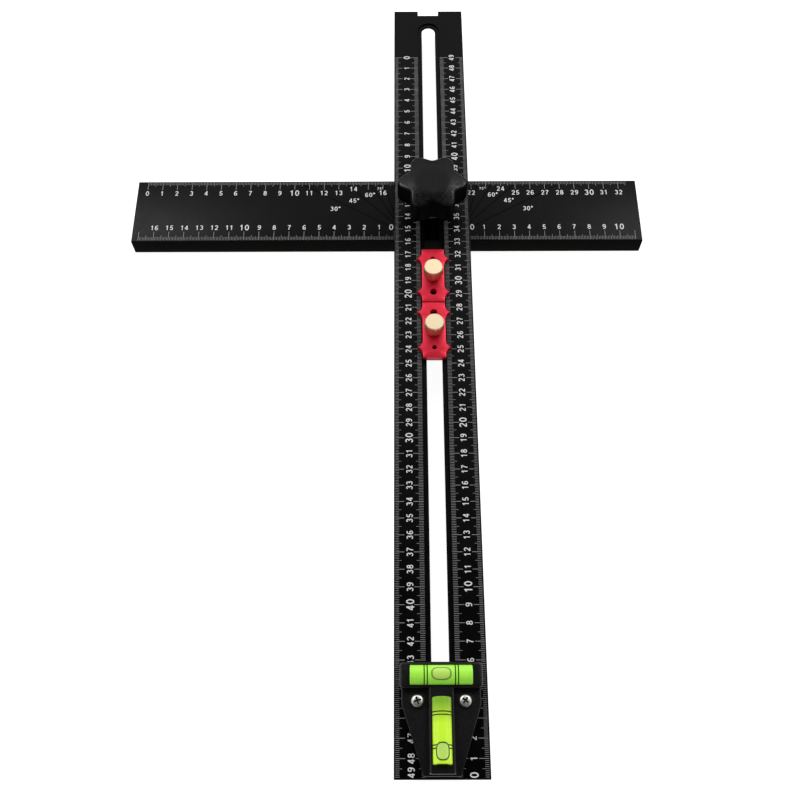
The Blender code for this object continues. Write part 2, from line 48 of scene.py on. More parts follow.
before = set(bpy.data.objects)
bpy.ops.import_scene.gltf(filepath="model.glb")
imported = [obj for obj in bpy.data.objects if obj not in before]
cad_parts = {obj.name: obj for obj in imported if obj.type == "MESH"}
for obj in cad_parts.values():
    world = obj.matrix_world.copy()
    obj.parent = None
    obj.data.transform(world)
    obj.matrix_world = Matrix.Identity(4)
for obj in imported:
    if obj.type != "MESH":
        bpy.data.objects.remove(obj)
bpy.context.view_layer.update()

MM = 0.001
GAP = 0.3 * MM
EDGE_BREAK = 0.15 * MM
FACE_BREAK = 0.5 * MM

# Blade: what its box doesn't give
NOTCH_HALF = 7.5 * MM
NOTCH_DEPTH = 4.3 * MM
SLOT_WIDTH = 9.6 * MM
CHANNEL_WIDTH = 15.2 * MM
CHANNEL_DEPTH = 1.0 * MM
NUT_CHANNEL_DEPTH = 2.5 * MM
SLOT_NEAR_CENTRE = 50.0 * MM
SLOT_FAR_CENTRE = 516.0 * MM

# Pivot stack
BOLT_RADIUS = 3.0 * MM
BOLT_PITCH = 1.0 * MM
BOLT_PLAIN_LENGTH = 7.8 * MM
BOLT_HEAD_ACROSS = 10.0 * MM
BOLT_HEAD_HEIGHT = 4.0 * MM
BOLT_POCKET_DEPTH = 5.2 * MM
INSERT_NECK_RADIUS = 4.8 * MM
INSERT_OUTER_RADIUS = 6.0 * MM
INSERT_LIP_THICKNESS = 0.6 * MM
KNOB_LOBES = 6
KNOB_VALLEY_DIP = 5.7 * MM
KNOB_CROWN = 4.2 * MM
KNOB_FLAT_RADIUS = 9.0 * MM
KNOB_SLOPE = 0.25
KNOB_SLOPE_START = 3.0 * MM
KNOB_EDGE = ((0.0, 1.1 * MM), (0.12 * MM, 0.72 * MM), (0.4 * MM, 0.38 * MM), (0.9 * MM, 0.13 * MM))
KNOB_CROWN_INSETS = (1.7 * MM, 3.0 * MM, 5.5 * MM, 8.0 * MM, 10.0 * MM, 12.0 * MM, 14.5 * MM, 18.0 * MM)
KNOB_SKIRT = 17.7 * MM
KNOB_HUB_RADIUS = 10.0 * MM
KNOB_SKIRT_RADIUS = 1.4 * MM

# Sliders, thumbscrews and nuts
SLIDER_WIDTH = 14.2 * MM
TIP_OFFSET = 12.5 * MM
TIP_SWEEP = math.radians(68)
SCREW_RADIUS = 2.0 * MM
SCREW_PITCH = 0.7 * MM
BIG_HOLE_RADIUS = 2.2 * MM
SMALL_HOLE_RADIUS = 1.5 * MM
THUMB_HEIGHT = 9.7 * MM
THUMB_TEETH = 36
KNURL_DEPTH = 0.45 * MM
NUT_FLANGE = 1.5 * MM
NUT_BOSS_LENGTH = 34.0 * MM

# Spirit level
HOLDER_PLATE = 3.0 * MM
HOLDER_BAR_LENGTH = 43.8 * MM
HOLDER_BAR_WIDTH = 13.6 * MM
HOLDER_SHOULDER_HALF = 21.0 * MM
HOLDER_SHOULDER_Y = 36.5 * MM
HOLDER_TOE_HALF = 9.6 * MM
SPINE_BASE = 17.0 * MM
SPINE_TOP = 12.6 * MM
HOLDER_SCREW_X = 12.6 * MM
HOLDER_SCREW_Y = 38.2 * MM
HOLDER_SHANK_RADIUS = 1.45 * MM
HOLDER_HEAD_HEIGHT = 2.0 * MM
RECESS_FOOT = (0.9 * MM, 0.30 * MM, 1.5 * MM)
RECESS_MOUTH = (2.3 * MM, 0.52 * MM, -0.2 * MM)
RECESS_REACH = 1.9 * MM
VIAL_BORE_RADIUS = 3.5 * MM
VIAL_END = 2.4 * MM
VIAL_LINES = (-9.0 * MM, -7.4 * MM, 7.4 * MM, 9.0 * MM)
VIAL_LINE_HALF = 0.30 * MM
CROSS_BUBBLE = (5.4 * MM, 3.4 * MM)
LONG_BUBBLE = (4.6 * MM, 3.5 * MM)
LONG_BUBBLE_AT = 10.5 * MM
BUBBLE_SQUARENESS = 0.72
BUBBLE_RIM_SHARE = 0.84

# Printed marks
OUTER_TICK_START = 24.2 * MM
OUTER_TICK_ENDS = (22.1 * MM, 20.7 * MM, 19.1 * MM)
INNER_TICK_START = 7.9 * MM
INNER_TICK_ENDS = (10.6 * MM, 12.2 * MM, 13.7 * MM)
CROSSBAR_TICK_START = 0.9 * MM
FAR_TICK_ENDS = (3.0 * MM, 4.2 * MM, 7.0 * MM)
NEAR_TICK_ENDS = (3.5 * MM, 4.8 * MM, 7.7 * MM)
TICK_WIDTH = 0.17 * MM
CM_TICK_WIDTH = 0.24 * MM
MARK_RISE = 0.03 * MM
MARK_ROOT = 0.02 * MM
DIGIT_HEIGHT = 3.6 * MM
TENS_HEIGHT = 4.4 * MM
GLYPH_ADVANCE = 0.80
GLYPH_HALF_STROKE = 0.074
BLADE_SCALE_CM = 49
SCALE_ZERO_FAR = -192.7 * MM
FAR_SCALE_MM = 325
NEAR_LEFT_MM = 170
NEAR_RIGHT_MM = 110
RAISED_CM = (14, 24)
UNPRINTED_CM = (15, 23)
ANGLES = (30, 45, 60, 75)
ANGLE_LABEL_PLACES = ((64.8, 23.0, 3.4), (52.3, 16.3, 3.4), (41.6, 11.6, 3.4), (34.7, 6.4, 2.0))
ANGLE_LINE_HALF = 0.30 * MM

# Camera
CAMERA_LENS = 44.378
CAMERA_PLACE = (-0.020485, -0.04235, 0.540928)
CAMERA_TURNS = (("Z", 0.2002), ("X", 25.5362), ("Z", -0.3406))

ALONG_Y = Matrix.Rotation(math.radians(90), 4, "X")
ALONG_X = Matrix.Rotation(math.radians(90), 4, "Z") @ ALONG_Y


# -------- materials

def add(tree, kind, values=(), **links):
    """A shader node; values sets its inputs and links joins them to other nodes' outputs."""
    made = tree.nodes.new("ShaderNode" + kind)
    for key, value in dict(values).items():
        made.inputs[key].default_value = value
    for key, output in links.items():
        tree.links.new(made.inputs[key], output)
    return made


def noise(tree, place, scale, detail):
    return add(tree, "TexNoise", {"Scale": scale, "Detail": detail}, Vector=place).outputs[0]


def ranged(tree, value, from_low, from_high, low, high):
    made = add(tree, "MapRange", {1: from_low, 2: from_high, 3: low, 4: high})
    tree.links.new(made.inputs[0], value)
    return made.outputs[0]


def mixed(tree, share, first, second):
    """Two colours, each given as numbers or as a node's output, mixed by a node's output."""
    made = tree.nodes.new("ShaderNodeMix")
    made.data_type = "RGBA"
    tree.links.new(made.inputs[0], share)
    for socket, colour in ((made.inputs[6], first), (made.inputs[7], second)):
        if isinstance(colour, tuple):
            socket.default_value = (*colour, 1.0)
        else:
            tree.links.new(socket, colour)
    return made.outputs[2]


def operated(tree, kind, operation, first, second):
    made = tree.nodes.new("ShaderNode" + kind)
    made.operation = operation
    tree.links.new(made.inputs[0], first)
    tree.links.new(made.inputs[1], second)
    return made.outputs["Value"]


def multiplied(tree, first, second):
    return operated(tree, "Math", "MULTIPLY", first, second)


def edge_mask(tree, radius):
    """1 on edges sharper than the radius can follow, 0 on open faces."""
    rounded_normal = add(tree, "Bevel", {"Radius": radius}).outputs[0]
    plain_normal = add(tree, "NewGeometry").outputs["Normal"]
    likeness = operated(tree, "VectorMath", "DOT_PRODUCT", rounded_normal, plain_normal)
    return ranged(tree, likeness, 0.99, 0.82, 0.0, 1.0)


def surface(name, colour, shade, roughness, spread, grain, depth,
            stretch=(1.0, 1.0, 1.0), wear=None, wear_share=0.0, cloud=45.0, fade=None, **fixed):
    """A finish with cloudy colour, uneven roughness, fine grain in its bump and worn edges.

    fade is a stretch of Y over which the colour turns into another, and that colour.
    """
    made = bpy.data.materials.new(name)
    made.use_nodes = True
    tree = made.node_tree
    shader = tree.nodes["Principled BSDF"]
    place = add(tree, "TexCoord").outputs["Object"]
    drawn = add(tree, "Mapping", {"Scale": stretch}, Vector=place).outputs[0]
    patches = noise(tree, place, cloud, 4.0)
    fine = noise(tree, drawn, grain, 5.0)
    tone = ranged(tree, patches, 0.35, 0.65, 0.0, 1.0)
    speck = ranged(tree, fine, 0.3, 0.7, 0.0, 1.0)
    base = mixed(tree, multiplied(tree, tone, speck), colour, shade)
    if fade:
        (start, end), far_colour = fade
        along = add(tree, "SeparateXYZ", Vector=place).outputs["Y"]
        base = mixed(tree, ranged(tree, along, start, end, 0.0, 1.0), base, far_colour)
    if wear:
        patchy = ranged(tree, noise(tree, place, 260.0, 3.0), 0.42, 0.68, 0.0, wear_share)
        base = mixed(tree, multiplied(tree, edge_mask(tree, 0.35 * MM), patchy), base, wear)
    tree.links.new(shader.inputs["Base Color"], base)
    uneven = multiplied(tree, patches, speck)
    rough = ranged(tree, uneven, 0.1, 0.45, roughness - spread, roughness + spread)
    tree.links.new(shader.inputs["Roughness"], rough)
    bump = add(tree, "Bump", {"Strength": 0.6, "Distance": depth}, Height=fine)
    tree.links.new(shader.inputs["Normal"], bump.outputs[0])
    for key, value in fixed.items():
        shader.inputs[key.replace("_", " ")].default_value = value
    return made


def grey(value):
    return (value, value, value)


def anodised_black():
    return surface(
        "anodised_black", (0.0006, 0.0007, 0.0007), (0.0018, 0.0020, 0.0020), 0.36, 0.06,
        2600.0, 0.02 * MM, (1.0, 0.25, 1.0), grey(0.05), 0.35,
        Specular_IOR_Level=0.08)


def anodised_black_sides():
    """Painted shade on the upright faces: a darker, duller copy of the tops' finish, with less sheen."""
    return surface(
        "anodised_black_sides", (0.0016, 0.0016, 0.0013), (0.0042, 0.0042, 0.0036), 0.6, 0.08,
        1800.0, 0.03 * MM, wear=grey(0.04), wear_share=0.3, Specular_IOR_Level=0.012)


def anodised_red():
    return surface(
        "anodised_red", (0.70, 0.015, 0.044), (0.80, 0.024, 0.060), 0.34, 0.05,
        2400.0, 0.015 * MM, (1.0, 0.3, 1.0), (0.72, 0.30, 0.32), 0.6,
        Metallic=0.35, Specular_IOR_Level=0.25)


def moulded_black():
    return surface(
        "moulded_black", (0.0042, 0.0043, 0.0042), (0.0072, 0.0072, 0.0070), 0.34, 0.07,
        1500.0, 0.03 * MM, wear=grey(0.012), wear_share=0.25, Specular_IOR_Level=0.30)


def knob_plastic():
    return surface(
        "knob_plastic", grey(0.0003), (0.0016, 0.0018, 0.0017), 0.36, 0.13,
        900.0, 0.06 * MM, wear=grey(0.015), wear_share=0.2, cloud=120.0,
        Specular_IOR_Level=0.17)


# Painted shade on the knob's upright walls: a darker, duller copy of knob_plastic.
def knob_sides():
    return surface(
        "knob_sides", grey(0.0001), (0.0006, 0.0006, 0.0005), 0.6, 0.08,
        900.0, 0.06 * MM, cloud=120.0, Specular_IOR_Level=0.03)


def black_nylon():
    return surface("black_nylon", grey(0.012), grey(0.02), 0.5, 0.06, 1200.0, 0.02 * MM)


def brass():
    return surface(
        "brass", (0.97, 0.78, 0.50), (1.0, 0.82, 0.57), 0.33, 0.03, 3000.0, 0.001 * MM,
        wear=(0.98, 0.86, 0.62), wear_share=0.5, Metallic=1.0)


def zinc():
    return surface(
        "zinc_plate", (0.62, 0.62, 0.61), (0.74, 0.73, 0.70), 0.34, 0.08, 1800.0, 0.015 * MM,
        wear=(0.85, 0.85, 0.84), wear_share=0.5, Metallic=1.0)


# Painted shade: the clamp washer sits in the knob's shadow, so it gets a dark copy of the zinc plating; its
# edges still wear bright.
def dull_zinc():
    return surface(
        "dull_zinc", grey(0.10), (0.18, 0.18, 0.17), 0.5, 0.08, 1800.0, 0.015 * MM,
        wear=grey(0.6), wear_share=0.4, Metallic=0.9)


def nickel():
    return surface(
        "nickel_plate", (0.70, 0.69, 0.63), (0.86, 0.84, 0.76), 0.42, 0.08, 2200.0, 0.012 * MM,
        wear=(0.86, 0.84, 0.78), wear_share=0.6, Metallic=1.0)


def recess_shade():
    """Painted shade inside a driver recess: a dark, dull copy of the plating."""
    return surface(
        "recess_shade", (0.03, 0.03, 0.025), (0.07, 0.065, 0.055), 0.6, 0.1, 1500.0, 0.02 * MM,
        Metallic=0.5)


def nut_steel():
    return surface(
        "nut_steel", grey(0.012), grey(0.025), 0.45, 0.08, 1500.0, 0.02 * MM,
        wear=grey(0.30), wear_share=0.5, Metallic=0.6)


def green_acrylic(name, colour, shade, fade=None):
    """Tinted tube with a little of the light through it, and a painted glow in its own colour."""
    return surface(
        name, colour, shade, 0.16, 0.04, 600.0, 0.004 * MM, fade=fade,
        Transmission_Weight=0.2, IOR=1.45, Emission_Color=(*colour, 1.0), Emission_Strength=0.22)


# Finish for the liquid, plug and bubble; a glow, where given, is painted light.
def vial_green(name, colour, shade, painted_glow=0.0):
    return surface(name, colour, shade, 0.14, 0.04, 700.0, 0.006 * MM,
                   Emission_Color=(*colour, 1.0), Emission_Strength=painted_glow)


def printed_white():
    return surface("printed_white", (0.80, 0.81, 0.81), grey(0.90), 0.6, 0.08, 4000.0, 0.004 * MM)


def engraved_grey():
    return surface("engraved_grey", grey(0.34), grey(0.48), 0.6, 0.08, 4000.0, 0.004 * MM)


def scribed_dark():
    return surface(
        "scribed_dark", grey(0.0003), grey(0.0007), 0.8, 0.05, 4000.0,
        0.004 * MM, Specular_IOR_Level=0.05)


def pale_floor():
    return surface("pale_floor", grey(0.60), grey(0.62), 0.8, 0.05, 300.0, 0.05 * MM,
                   Specular_IOR_Level=0.0, Emission_Color=(1.0, 1.0, 1.0, 1.0), Emission_Strength=0.93)


# -------- shapes

def circle(radius, count):
    """An anticlockwise circle; radius 0 is a single point on the axis."""
    if not radius:
        return [(0.0, 0.0)]
    turns = [math.tau * step / count for step in range(count)]
    return [(radius * math.cos(a), radius * math.sin(a)) for a in turns]


def moved(outline, dx, dy):
    return [(x + dx, y + dy) for x, y in outline]


def box_outline(x0, y0, x1, y1):
    return [(x0, y0), (x1, y0), (x1, y1), (x0, y1)]


def rounded_box(x0, y0, x1, y1, radius, count=6):
    """A box outline whose corners are quarter circles."""
    corners = ((x1 - radius, y0 + radius, 3), (x1 - radius, y1 - radius, 0),
               (x0 + radius, y1 - radius, 1), (x0 + radius, y0 + radius, 2))
    outline = []
    for x, y, quarter in corners:
        for step in range(count + 1):
            angle = math.pi / 2 * (quarter + step / count)
            outline.append((x + radius * math.cos(angle), y + radius * math.sin(angle)))
    return outline


def obround(width, near_y, far_y, count=32):
    arc = [math.pi * step / count for step in range(count + 1)]
    far = [(width / 2 * math.cos(a), far_y + width / 2 * math.sin(a)) for a in arc]
    near = [(-width / 2 * math.cos(a), near_y - width / 2 * math.sin(a)) for a in arc]
    return far + near


def waved(radius, dip, waves, count):
    """A circle whose radius dips by dip between its waves."""
    turns = [math.tau * step / count for step in range(count)]
    reach = [radius - dip * (0.5 - 0.5 * math.cos(waves * a)) for a in turns]
    return [(r * math.cos(a), r * math.sin(a)) for r, a in zip(reach, turns)]


def inset(outline, distance):
    """The anticlockwise outline moved inwards, each corner along its mitre."""
    if not distance:
        return outline
    result = []
    for index, here in enumerate(outline):
        back = (Vector(here) - Vector(outline[index - 1])).normalized()
        on = (Vector(outline[(index + 1) % len(outline)]) - Vector(here)).normalized()
        mitre = Vector((-back.y - on.y, back.x + on.x)) / (1 + back.dot(on))
        result.append(tuple(Vector(here) + mitre * distance))
    return result


def rounded(low, high, radius, steps=3):
    """(inset, height) levels up a wall whose two edges are rounded."""
    turns = [math.pi / 2 * step / steps for step in range(steps + 1)]
    foot = [(radius * (1 - math.sin(a)), low + radius * (1 - math.cos(a))) for a in turns]
    head = [(radius * (1 - math.cos(a)), high - radius * (1 - math.sin(a))) for a in turns]
    return foot + head


def skin(shape, lower, upper):
    """Faces between two rings of one count; a ring of one point makes a fan."""
    count = max(len(lower), len(upper))
    for here in range(count):
        there = (here + 1) % count
        corners = [lower[here % len(lower)], lower[there % len(lower)],
                   upper[there % len(upper)], upper[here % len(upper)]]
        shape.faces.new(list(dict.fromkeys(corners)))


def loft(shape, sections):
    """Closed outlines at their heights, skinned in turn; gives the first and the last ring.

    A height is a number, or a function of x and y.
    """
    rings = []
    for outline, height in sections:
        levels = [height(x, y) if callable(height) else height for x, y in outline]
        rings.append([shape.verts.new((x, y, z)) for (x, y), z in zip(outline, levels)])
    for lower, upper in zip(rings, rings[1:]):
        skin(shape, lower, upper)
    return rings[0], rings[-1]


def wall(shape, outline, levels):
    """One outline lofted through (inset, height) levels."""
    return loft(shape, [(inset(outline, inward), height) for inward, height in levels])


def bore(shape, outline, low, high):
    """A hole's wall, opened out a little at both edges."""
    return wall(shape, outline, [(-inward, height) for inward, height in rounded(low, high, EDGE_BREAK, 1)])


def lofted(sections):
    shape = bmesh.new()
    loft(shape, sections)
    return shape


def cap(shape, *rings):
    """The flat face inside the first ring and outside the others."""
    edges = []
    for ring in rings:
        for pair in zip(ring, ring[1:] + ring[:1]):
            edges.append(shape.edges.get(pair) or shape.edges.new(pair))
    bmesh.ops.triangle_fill(shape, use_beauty=True, edges=edges)


def turned(profile, count=64):
    """A profile of (radius, height) points turned about Z, closed on itself or on the axis."""
    shape = bmesh.new()
    first, last = loft(shape, [(circle(radius, count), height) for radius, height in profile])
    if len(first) > 1:
        skin(shape, last, first)
    return shape


def prism(outline, low, high, edge=0.0, steps=3):
    shape = bmesh.new()
    levels = rounded(low, high, edge, steps) if edge else [(0.0, low), (0.0, high)]
    bottom, top = wall(shape, outline, levels)
    cap(shape, bottom)
    cap(shape, top)
    return shape


def threaded(radius, low, high, pitch):
    """Profile points of a screw thread's crests and roots, from low to high."""
    depth = 0.5 * pitch
    turns = int((high - low) / pitch)
    points = [(radius - depth, low)]
    for turn in range(turns):
        foot = low + turn * pitch
        points += [(radius, foot + 0.4 * pitch), (radius, foot + 0.6 * pitch)]
        points.append((radius - depth, foot + pitch))
    return points


def to_object(name, shape, finishes, place=Matrix.Identity(4)):
    bmesh.ops.transform(shape, matrix=place, verts=shape.verts[:])
    bmesh.ops.recalc_face_normals(shape, faces=shape.faces[:])
    mesh = bpy.data.meshes.new(name)
    shape.to_mesh(mesh)
    shape.free()
    for finish in finishes:
        mesh.materials.append(finish)
    obj = bpy.data.objects.new(name, mesh)
    bpy.context.scene.collection.objects.link(obj)
    return obj


def soften(obj, angle=32):
    obj.data.shade_smooth()
    obj.data.set_sharp_from_angle(angle=math.radians(angle))


def piece(name, shape, finish, body, stands_for=None, place=Matrix.Identity(4), shade_painted_sides=None):
    """A finished, smoothly shaded piece that rides on a body; a second finish, if given, paints shade on its
    upright faces.
    """
    obj = to_object(name, shape, [finish], place)
    if shade_painted_sides:
        # The second finish is painted shade for the upright faces.
        obj.data.materials.append(shade_painted_sides)
        for face in obj.data.polygons:
            face.material_index = int(abs(face.normal.z) < 0.6)
    soften(obj)
    return mount(obj, body, stands_for)


def mount(obj, body, stands_for=None):
    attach(obj, body)
    if stands_for:
        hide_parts(stands_for)
    return obj


def combine(obj, shape, operation, place=Matrix.Identity(4), edge=0.0):
    """Joins a shape to obj or cuts it away, with the result applied to obj's mesh."""
    tool = to_object(obj.name + "_tool", shape, [], place)
    if edge:
        add_bevel(tool, edge)
    step = obj.modifiers.new(operation, "BOOLEAN")
    step.operation = operation
    step.object = tool
    settle(obj)
    bpy.data.objects.remove(tool, do_unlink=True)


def add_bevel(obj, width, segments=4):
    step = obj.modifiers.new("Bevel", "BEVEL")
    step.width = width
    step.segments = segments
    step.limit_method = "ANGLE"
    step.angle_limit = math.radians(40)


def settle(obj):
    """Applies the modifiers to the mesh."""
    bpy.context.view_layer.update()
    graph = bpy.context.evaluated_depsgraph_get()
    mesh = bpy.data.meshes.new_from_object(obj.evaluated_get(graph))
    obj.modifiers.clear()
    obj.data = mesh


def middle_of(node):
    low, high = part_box(node)
    return (low + high) / 2


def upright_at(node):
    """Moves a shape built round the Z axis to the node's own upright axis."""
    middle = middle_of(node)
    return Matrix.Translation((middle.x, middle.y, 0.0))


# -------- blade and crossbar

def build_blade(finish, shade_painted_sides):
    low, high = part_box("blade")
    half = high.x
    far = high.y
    floor = high.z - CHANNEL_DEPTH
    web = low.z + NUT_CHANNEL_DEPTH
    outline = [
        (-half, 0.0), (half, 0.0), (half, far), (NOTCH_HALF, far),
        (NOTCH_HALF, far - NOTCH_DEPTH), (-NOTCH_HALF, far - NOTCH_DEPTH), (-NOTCH_HALF, far),
        (-half, far),
    ]
    channel = obround(CHANNEL_WIDTH, SLOT_NEAR_CENTRE, SLOT_FAR_CENTRE)
    slot = obround(SLOT_WIDTH, SLOT_NEAR_CENTRE, SLOT_FAR_CENTRE)
    shape = bmesh.new()
    bottom, top = wall(shape, outline, rounded(low.z, high.z, FACE_BREAK))
    channel_foot, channel_top = wall(
        shape, channel, [(0.0, floor), (0.0, high.z - EDGE_BREAK), (-EDGE_BREAK, high.z)])
    slot_foot, slot_top = bore(shape, slot, web, floor)
    nut_foot, nut_top = wall(
        shape, channel, [(-EDGE_BREAK, low.z), (0.0, low.z + EDGE_BREAK), (0.0, web)])
    skin(shape, slot_top, channel_foot)
    skin(shape, nut_top, slot_foot)
    holes = []
    for sign in (-1, 1):
        hole = moved(circle(HOLDER_SHANK_RADIUS + GAP, 32), sign * HOLDER_SCREW_X, HOLDER_SCREW_Y)
        holes.append(bore(shape, hole, low.z, high.z))
    feet, heads = zip(*holes)
    cap(shape, top, channel_top, *heads)
    cap(shape, bottom, nut_foot, *feet)
    piece("blade_machined", shape, finish, "blade", "blade", shade_painted_sides=shade_painted_sides)


def build_crossbar(finish, shade_painted_sides):
    low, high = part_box("crossbar")
    pivot_y = (low.y + high.y) / 2
    pocket_top = low.z + BOLT_POCKET_DEPTH
    outline = box_outline(low.x, low.y, high.x, high.y)
    hole = moved(circle(BOLT_RADIUS + GAP, 40), 0.0, pivot_y)
    hexagon = moved(circle((BOLT_HEAD_ACROSS / 2 + GAP) / math.cos(math.pi / 6), 6), 0.0, pivot_y)
    shape = bmesh.new()
    bottom, top = wall(shape, outline, rounded(low.z, high.z, FACE_BREAK))
    hole_foot, hole_top = wall(
        shape, hole, [(0.0, pocket_top), (0.0, high.z - EDGE_BREAK), (-EDGE_BREAK, high.z)])
    pocket_foot, pocket_head = wall(
        shape, hexagon, [(-EDGE_BREAK, low.z), (0.0, low.z + EDGE_BREAK), (0.0, pocket_top)])
    cap(shape, top, hole_top)
    cap(shape, bottom, pocket_foot)
    cap(shape, pocket_head, hole_foot)
    piece("crossbar_machined", shape, finish, "crossbar", "crossbar",
          shade_painted_sides=shade_painted_sides)


# -------- pivot stack

def build_pivot_bolt(finish, pivot):
    low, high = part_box("pivot_bolt")
    head_top = low.z + BOLT_HEAD_HEIGHT
    flat = BOLT_HEAD_ACROSS / 2
    corner = flat / math.cos(math.pi / 6)
    count = 48
    hexagon = []
    for step in range(count):
        angle = math.tau * step / count
        reach = flat / math.cos((angle % (math.pi / 3)) - math.pi / 6)
        hexagon.append((reach, angle))

    def head_ring(limit):
        return [(min(r, limit) * math.cos(a), min(r, limit) * math.sin(a)) for r, a in hexagon]

    sections = [
        ([(0.0, 0.0)], low.z), (circle(flat - 0.3 * MM, count), low.z),
        (head_ring(corner - 0.35 * MM), low.z + 0.5 * MM), (head_ring(corner), low.z + 0.8 * MM),
        (head_ring(corner), head_top - 0.1 * MM), (head_ring(corner - 0.1 * MM), head_top),
    ]
    plain_top = head_top + BOLT_PLAIN_LENGTH
    shank = threaded(BOLT_RADIUS, plain_top + 0.2 * MM, high.z - 0.8 * MM, BOLT_PITCH)
    profile = [(BOLT_RADIUS, head_top), (BOLT_RADIUS, plain_top)] + shank
    profile += [(BOLT_RADIUS - 0.8 * MM, high.z), (0.0, high.z)]
    sections += [(circle(radius, count), height) for radius, height in profile]
    piece("pivot_bolt_threaded", lofted(sections), finish, "crossbar",
          "pivot_bolt", pivot)


def build_pivot_rings(finishes, pivot):
    """The bush, the clamp washer and the knob's insert, each turned round its own bore."""
    bore_radius = BOLT_RADIUS + GAP
    low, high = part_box("slot_bush")
    neck = SLOT_WIDTH / 2 - GAP
    flange = high.x
    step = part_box("blade")[0].z + NUT_CHANNEL_DEPTH - GAP
    edge = 0.2 * MM
    bush = [
        (bore_radius, low.z), (flange - edge, low.z), (flange, low.z + edge), (flange, step - edge),
        (flange - edge, step), (neck, step), (neck, high.z - edge), (neck - edge, high.z),
        (bore_radius, high.z),
    ]
    piece("slot_bush_turned", turned(bush), finishes["nylon"], "slide_block",
          "slot_bush", pivot)

    low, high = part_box("clamp_washer")
    rim = high.x
    washer = [(INSERT_NECK_RADIUS + GAP, low.z), (INSERT_NECK_RADIUS + GAP, high.z)]
    washer += [(rim - inward, height) for inward, height in rounded(low.z, high.z, 0.3 * MM)][::-1]
    piece("clamp_washer_turned", turned(washer, 96), finishes["washer"], "washer",
          "clamp_washer", pivot)

    low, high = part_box("knob_insert")
    lip = high.x
    lip_top = low.z + INSERT_LIP_THICKNESS
    hub_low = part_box("star_knob")[0].z
    insert = [
        (bore_radius, low.z), (lip - edge, low.z), (lip, low.z + edge), (lip, lip_top),
        (INSERT_NECK_RADIUS, lip_top), (INSERT_NECK_RADIUS, hub_low), (INSERT_OUTER_RADIUS, hub_low),
        (INSERT_OUTER_RADIUS, high.z), (bore_radius, high.z),
    ]
    piece("knob_insert_turned", turned(insert), finishes["brass"], "knob", "knob_insert", pivot)


def knob_crown(base):
    """Height of the crown over each point: flat over the hub, then a cone with a rounded start."""
    def height(x, y):
        out = max(0.0, math.hypot(x, y) - KNOB_FLAT_RADIUS)
        if out < KNOB_SLOPE_START:
            fall = out * out / (2 * KNOB_SLOPE_START)
        else:
            fall = out - KNOB_SLOPE_START / 2
        return base + KNOB_CROWN - KNOB_SLOPE * fall
    return height


def build_star_knob(finish, shade_painted_sides, pivot):
    """Six lobes with upright walls and a rounded skirt, under a crown that rises to the hub."""
    low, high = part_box("star_knob")
    reach = high.x
    shoulder = high.z - KNOB_CROWN
    skirt = shoulder - (KNOB_SKIRT - KNOB_CROWN)
    bore_radius = INSERT_OUTER_RADIUS + GAP
    bore_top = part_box("knob_insert")[1].z + GAP
    count = KNOB_LOBES * 32

    def lobed(radius):
        dip = KNOB_VALLEY_DIP * min(1.0, 1.25 * (radius / reach) ** 1.6)
        return waved(radius, dip, KNOB_LOBES, count)

    sections = [
        ([(0.0, 0.0)], bore_top), (circle(bore_radius, count), bore_top),
        (circle(bore_radius, count), low.z),
    ]
    hub = ((-0.5 * MM, low.z), (0.0, low.z + 0.5 * MM), (0.6 * MM, skirt - 1.5 * MM),
           (1.2 * MM, skirt - 0.4 * MM), (2.5 * MM, skirt))
    for outward, height in hub:
        sections.append((circle(KNOB_HUB_RADIUS + outward, count), height))
    for inward, height in rounded(skirt, shoulder, KNOB_SKIRT_RADIUS, 5)[:6]:
        sections.append((lobed(reach - inward), height))
    for inward, drop in KNOB_EDGE + tuple((inward, 0.0) for inward in KNOB_CROWN_INSETS):
        sections.append((lobed(reach - inward), knob_crown(shoulder - drop)))
    sections.append(([(0.0, 0.0)], high.z))
    # The lobes' upright walls take the painted-shade finish.
    piece("star_knob_moulded", lofted(sections), finish, "knob", "star_knob", pivot, shade_painted_sides)


# -------- sliders

def slider_outline(span):
    """Anticlockwise about the slider's middle, with two pointed tips on each side."""
    half_x = SLIDER_WIDTH / 2
    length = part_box("slider_upper")[1].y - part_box("slider_upper")[0].y
    radius = (span / 2 - half_x) / (1 - math.cos(TIP_SWEEP))
    steps = 12
    arc = []
    for step in range(steps + 1):
        angle = TIP_SWEEP * step / steps
        out = radius * (1 - math.cos(angle))
        along = radius * (math.sin(TIP_SWEEP) - math.sin(angle))
        arc.append((half_x + out, along))
    right = [(half_x, -length / 2)]
    for centre in (-TIP_OFFSET, TIP_OFFSET):
        right += [(x, centre - along) for x, along in arc]
        right += [(x, centre + along) for x, along in arc[-2::-1]]
    right.append((half_x, length / 2))
    return right + [(-x, -y) for x, y in right]


